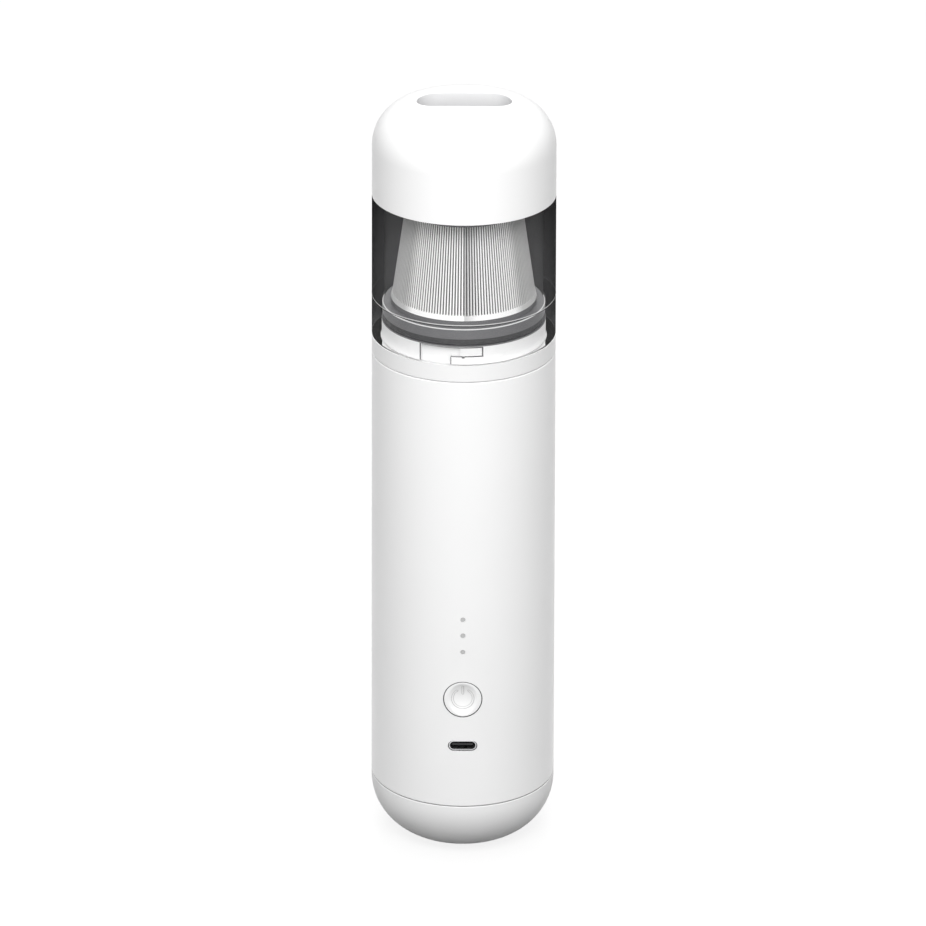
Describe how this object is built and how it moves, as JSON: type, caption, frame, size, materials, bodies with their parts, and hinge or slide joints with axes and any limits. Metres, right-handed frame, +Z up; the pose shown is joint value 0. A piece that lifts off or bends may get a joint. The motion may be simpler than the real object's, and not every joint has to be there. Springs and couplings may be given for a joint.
{
  "type": "handheld vacuum cleaner",
  "caption": "Slim upright handheld vacuum cleaner: white tube with a domed tail, a smoky twist-off dust cup over a pleated cone filter, and a domed nose with an oval nozzle slot.",
  "frame": {"origin": "centre of the flat base that the cleaner stands on", "axes": "+Z up along the tube towards the nozzle, -Y is the front with the button and the charging socket, +X to the right in the front view"},
  "size_m": [0.06, 0.06, 0.2535],
  "materials": {
    "white_shell": "satin white housing",
    "white_nose": "satin white nose",
    "collar_white": "satin white, a little greyer",
    "smoke_clear": "clear smoke-tinted plastic",
    "lock_white": "white ring inside the cup",
    "dark_rubber": "soft black seal",
    "grey_rubber": "soft grey",
    "valve_grey": "matt grey",
    "filter_grey": "matt grey",
    "filter_white": "matt white",
    "filter_paper": "pleated white paper",
    "foam": "open black foam",
    "frame_black": "matt black",
    "impeller_grey": "moulded grey",
    "steel": "bare steel",
    "magnet": "dark ferrite",
    "core_steel": "stacked steel sheets",
    "copper": "copper",
    "carbon": "carbon",
    "cell_wrap": "shrink-wrapped metal can",
    "nickel": "nickel strip",
    "board_green": "coated laminate",
    "chip_black": "moulded chip",
    "lamp": "small lamp",
    "light_guide": "milky clear",
    "button_white": "satin white",
    "socket_metal": "drawn steel",
    "socket_black": "black insert",
    "lead_sleeve": "red sleeve"
  },
  "bodies": {
    "handle": {"tail_cap": "white_shell", "body_shell": "white_shell", "exhaust_foam": "foam", "neck_collar": "collar_white", "filter_seal": "dark_rubber", "filter_flange": "filter_grey", "filter_base_ring": "filter_white", "filter_media": "filter_paper", "filter_cage": "filter_white", "filter_cap": "filter_grey", "fan_housing": "frame_black", "motor_can": "steel", "motor_end_cap": "frame_black", "upper_bearing": "steel", "lower_bearing": "steel", "motor_magnets": "magnet", "motor_brushes": "carbon", "motor_mount": "dark_rubber", "motor_screws": "steel", "chassis": "frame_black", "chassis_screws": "steel", "cell_left": "cell_wrap", "cell_right": "cell_wrap", "cell_tabs": "nickel", "control_board": "board_green", "board_screws": "steel", "board_components": "chip_black", "indicator_lamps": "lamp", "light_guide": "light_guide", "switch_body": "socket_metal", "socket_shell": "socket_metal", "socket_insert": "socket_black", "motor_leads": "lead_sleeve"},
    "cup": {"dust_cup": "smoke_clear", "lock_ring": "lock_white", "nose_gasket": "dark_rubber", "nose_cap": "white_nose", "valve_seat": "valve_grey", "flap_pin": "steel"},
    "flap": {"inlet_flap": "grey_rubber"},
    "button": {"power_button": "button_white", "switch_plunger": "chip_black"},
    "rotor": {"motor_shaft": "steel", "rotor_core": "core_steel", "commutator": "copper", "impeller": "impeller_grey", "impeller_nut": "steel"}
  },
  "joints": [
    {"name": "cup_twist", "type": "hinge", "parent": "handle", "child": "cup", "pos_m": [0, 0, 0.1754], "axis": [0, 0, 1], "range_deg": [0, 29]},
    {"name": "flap_swing", "type": "hinge", "parent": "cup", "child": "flap", "pos_m": [0, 0.00855, 0.2382], "axis": [1, 0, 0], "range_deg": [0, 75], "stiffness_Nm_per_rad": 0.0002, "springref_deg": -57.3},
    {"name": "power_press", "type": "slide", "parent": "handle", "child": "button", "axis": [0, 1, 0], "range_m": [0, 0.0006], "stiffness_N_per_m": 2000, "springref_m": -0.0003},
    {"name": "fan_spin", "type": "hinge", "parent": "handle", "child": "rotor", "pos_m": [0, 0, 0.1178], "axis": [0, 0, 1], "continuous": true}
  ]
}
